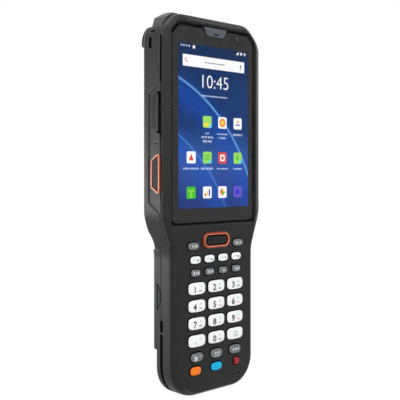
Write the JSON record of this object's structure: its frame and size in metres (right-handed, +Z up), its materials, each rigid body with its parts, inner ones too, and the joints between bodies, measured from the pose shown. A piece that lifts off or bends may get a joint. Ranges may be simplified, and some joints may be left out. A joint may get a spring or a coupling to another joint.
{
  "type": "portable barcode data terminal",
  "caption": "Hand-held terminal with a touch display over a full keypad, side triggers, a scan window in the top end and a removable battery in the back of the grip.",
  "frame": {"origin": "centre of the whole part's box, on the plane of its base", "axes": "+Z up the length from the base to the scan window, the display and keys face -Y, +X to the viewer's right when the display is looked at"},
  "size_m": [0.074, 0.027, 0.204],
  "materials": {
    "shell": "fine moulded texture",
    "soft_black": "matt",
    "window_red": "clear dark red",
    "front_glass": "polished black border",
    "screen": "polished",
    "gasket": "matt",
    "grille_grey": "satin",
    "lens_black": "polished",
    "orange_trim": "satin",
    "rubber_grey": "matt",
    "board_green": "lacquered",
    "metal": "satin",
    "speaker_grey": "matt",
    "flash_white": "frosted",
    "gold": "plated",
    "side_key_grey": "matt",
    "key_black": "satin",
    "key_white": "satin",
    "key_grey": "satin",
    "key_orange": "satin",
    "key_blue": "satin",
    "key_red": "satin"
  },
  "bodies": {
    "housing": {"front_cover": "shell", "rear_cover": "shell", "scan_hood": "soft_black", "scan_window": "window_red", "display_glass": "front_glass", "lcd_panel": "screen", "display_gasket": "gasket", "earpiece_grille": "grille_grey", "front_camera": "lens_black", "scan_key_ring": "orange_trim", "keypad_mat": "rubber_grey", "keypad_board": "board_green", "main_board": "board_green", "scan_engine": "metal", "speaker": "speaker_grey", "rear_camera": "lens_black", "camera_flash": "flash_white", "usb_connector": "metal", "charging_contacts": "gold", "battery_contacts": "gold", "cover_screws": "metal", "left_trigger_rim": "orange_trim", "right_trigger_rim": "orange_trim"},
    "key_scan": {"key_scan": "key_black"},
    "key_left": {"key_left": "key_grey"},
    "key_right": {"key_right": "key_grey"},
    "key_f1": {"key_f1": "key_white"},
    "key_f2": {"key_f2": "key_white"},
    "key_f3": {"key_f3": "key_white"},
    "key_f4": {"key_f4": "key_white"},
    "key_esc": {"key_esc": "key_grey"},
    "key_tab": {"key_tab": "key_grey"},
    "key_up": {"key_up": "key_grey"},
    "key_delete": {"key_delete": "key_grey"},
    "key_1": {"key_1": "key_white"},
    "key_2": {"key_2": "key_white"},
    "key_3": {"key_3": "key_white"},
    "key_4": {"key_4": "key_white"},
    "key_5": {"key_5": "key_white"},
    "key_6": {"key_6": "key_white"},
    "key_7": {"key_7": "key_white"},
    "key_8": {"key_8": "key_white"},
    "key_9": {"key_9": "key_white"},
    "key_dot": {"key_dot": "key_white"},
    "key_0": {"key_0": "key_white"},
    "key_enter": {"key_enter": "key_white"},
    "key_light": {"key_light": "key_grey"},
    "key_shift": {"key_shift": "key_grey"},
    "key_space": {"key_space": "key_grey"},
    "key_orange": {"key_orange": "key_orange"},
    "key_blue": {"key_blue": "key_blue"},
    "key_red": {"key_red": "key_red"},
    "left_trigger": {"left_trigger": "soft_black"},
    "right_trigger": {"right_trigger": "soft_black"},
    "power_key": {"power_key": "side_key_grey"},
    "volume_key": {"volume_key": "side_key_grey"},
    "battery_pack": {"battery_pack": "shell"},
    "battery_latch_left": {"battery_latch_left": "soft_black"},
    "battery_latch_right": {"battery_latch_right": "soft_black"}
  },
  "joints": [
    {"name": "key_scan_press", "type": "slide", "parent": "housing", "child": "key_scan", "axis": [0, 1, 0], "range_m": [0, 0.0008], "stiffness_N_per_m": 600, "springref_m": -0.001},
    {"name": "key_left_press", "type": "slide", "parent": "housing", "child": "key_left", "axis": [0, 1, 0], "range_m": [0, 0.0008], "stiffness_N_per_m": 600, "springref_m": -0.001},
    {"name": "key_right_press", "type": "slide", "parent": "housing", "child": "key_right", "axis": [0, 1, 0], "range_m": [0, 0.0008], "stiffness_N_per_m": 600, "springref_m": -0.001},
    {"name": "key_f1_press", "type": "slide", "parent": "housing", "child": "key_f1", "axis": [0, 1, 0], "range_m": [0, 0.0008], "stiffness_N_per_m": 600, "springref_m": -0.001},
    {"name": "key_f2_press", "type": "slide", "parent": "housing", "child": "key_f2", "axis": [0, 1, 0], "range_m": [0, 0.0008], "stiffness_N_per_m": 600, "springref_m": -0.001},
    {"name": "key_f3_press", "type": "slide", "parent": "housing", "child": "key_f3", "axis": [0, 1, 0], "range_m": [0, 0.0008], "stiffness_N_per_m": 600, "springref_m": -0.001},
    {"name": "key_f4_press", "type": "slide", "parent": "housing", "child": "key_f4", "axis": [0, 1, 0], "range_m": [0, 0.0008], "stiffness_N_per_m": 600, "springref_m": -0.001},
    {"name": "key_esc_press", "type": "slide", "parent": "housing", "child": "key_esc", "axis": [0, 1, 0], "range_m": [0, 0.0008], "stiffness_N_per_m": 600, "springref_m": -0.001},
    {"name": "key_tab_press", "type": "slide", "parent": "housing", "child": "key_tab", "axis": [0, 1, 0], "range_m": [0, 0.0008], "stiffness_N_per_m": 600, "springref_m": -0.001},
    {"name": "key_up_press", "type": "slide", "parent": "housing", "child": "key_up", "axis": [0, 1, 0], "range_m": [0, 0.0008], "stiffness_N_per_m": 600, "springref_m": -0.001},
    {"name": "key_delete_press", "type": "slide", "parent": "housing", "child": "key_delete", "axis": [0, 1, 0], "range_m": [0, 0.0008], "stiffness_N_per_m": 600, "springref_m": -0.001},
    {"name": "key_1_press", "type": "slide", "parent": "housing", "child": "key_1", "axis": [0, 1, 0], "range_m": [0, 0.0008], "stiffness_N_per_m": 600, "springref_m": -0.001},
    {"name": "key_2_press", "type": "slide", "parent": "housing", "child": "key_2", "axis": [0, 1, 0], "range_m": [0, 0.0008], "stiffness_N_per_m": 600, "springref_m": -0.001},
    {"name": "key_3_press", "type": "slide", "parent": "housing", "child": "key_3", "axis": [0, 1, 0], "range_m": [0, 0.0008], "stiffness_N_per_m": 600, "springref_m": -0.001},
    {"name": "key_4_press", "type": "slide", "parent": "housing", "child": "key_4", "axis": [0, 1, 0], "range_m": [0, 0.0008], "stiffness_N_per_m": 600, "springref_m": -0.001},
    {"name": "key_5_press", "type": "slide", "parent": "housing", "child": "key_5", "axis": [0, 1, 0], "range_m": [0, 0.0008], "stiffness_N_per_m": 600, "springref_m": -0.001},
    {"name": "key_6_press", "type": "slide", "parent": "housing", "child": "key_6", "axis": [0, 1, 0], "range_m": [0, 0.0008], "stiffness_N_per_m": 600, "springref_m": -0.001},
    {"name": "key_7_press", "type": "slide", "parent": "housing", "child": "key_7", "axis": [0, 1, 0], "range_m": [0, 0.0008], "stiffness_N_per_m": 600, "springref_m": -0.001},
    {"name": "key_8_press", "type": "slide", "parent": "housing", "child": "key_8", "axis": [0, 1, 0], "range_m": [0, 0.0008], "stiffness_N_per_m": 600, "springref_m": -0.001},
    {"name": "key_9_press", "type": "slide", "parent": "housing", "child": "key_9", "axis": [0, 1, 0], "range_m": [0, 0.0008], "stiffness_N_per_m": 600, "springref_m": -0.001},
    {"name": "key_dot_press", "type": "slide", "parent": "housing", "child": "key_dot", "axis": [0, 1, 0], "range_m": [0, 0.0008], "stiffness_N_per_m": 600, "springref_m": -0.001},
    {"name": "key_0_press", "type": "slide", "parent": "housing", "child": "key_0", "axis": [0, 1, 0], "range_m": [0, 0.0008], "stiffness_N_per_m": 600, "springref_m": -0.001},
    {"name": "key_enter_press", "type": "slide", "parent": "housing", "child": "key_enter", "axis": [0, 1, 0], "range_m": [0, 0.0008], "stiffness_N_per_m": 600, "springref_m": -0.001},
    {"name": "key_light_press", "type": "slide", "parent": "housing", "child": "key_light", "axis": [0, 1, 0], "range_m": [0, 0.0008], "stiffness_N_per_m": 600, "springref_m": -0.001},
    {"name": "key_shift_press", "type": "slide", "parent": "housing", "child": "key_shift", "axis": [0, 1, 0], "range_m": [0, 0.0008], "stiffness_N_per_m": 600, "springref_m": -0.001},
    {"name": "key_space_press", "type": "slide", "parent": "housing", "child": "key_space", "axis": [0, 1, 0], "range_m": [0, 0.0008], "stiffness_N_per_m": 600, "springref_m": -0.001},
    {"name": "key_orange_press", "type": "slide", "parent": "housing", "child": "key_orange", "axis": [0, 1, 0], "range_m": [0, 0.0008], "stiffness_N_per_m": 600, "springref_m": -0.001},
    {"name": "key_blue_press", "type": "slide", "parent": "housing", "child": "key_blue", "axis": [0, 1, 0], "range_m": [0, 0.0008], "stiffness_N_per_m": 600, "springref_m": -0.001},
    {"name": "key_red_press", "type": "slide", "parent": "housing", "child": "key_red", "axis": [0, 1, 0], "range_m": [0, 0.0008], "stiffness_N_per_m": 600, "springref_m": -0.001},
    {"name": "left_trigger_press", "type": "slide", "parent": "housing", "child": "left_trigger", "axis": [1, 0, 0], "range_m": [0, 0.0008], "stiffness_N_per_m": 900, "springref_m": -0.001},
    {"name": "right_trigger_press", "type": "slide", "parent": "housing", "child": "right_trigger", "axis": [-1, 0, 0], "range_m": [0, 0.0008], "stiffness_N_per_m": 900, "springref_m": -0.001},
    {"name": "power_key_press", "type": "slide", "parent": "housing", "child": "power_key", "axis": [-1, 0, 0], "range_m": [0, 0.0008], "stiffness_N_per_m": 700, "springref_m": -0.001},
    {"name": "volume_key_rock", "type": "hinge", "parent": "housing", "child": "volume_key", "pos_m": [-0.0349, -0.0052, 0.1484], "axis": [0, 1, 0], "range_deg": [-4, 4], "stiffness_Nm_per_rad": 0.3},
    {"name": "battery_slide", "type": "slide", "parent": "housing", "child": "battery_pack", "axis": [0, 1, 0], "range_m": [0, 0.015]},
    {"name": "battery_latch_left_press", "type": "slide", "parent": "battery_pack", "child": "battery_latch_left", "axis": [1, 0, 0], "range_m": [0, 0.0012], "stiffness_N_per_m": 1000, "springref_m": -0.001},
    {"name": "battery_latch_right_press", "type": "slide", "parent": "battery_pack", "child": "battery_latch_right", "axis": [-1, 0, 0], "range_m": [0, 0.0012], "stiffness_N_per_m": 1000, "springref_m": -0.001}
  ]
}
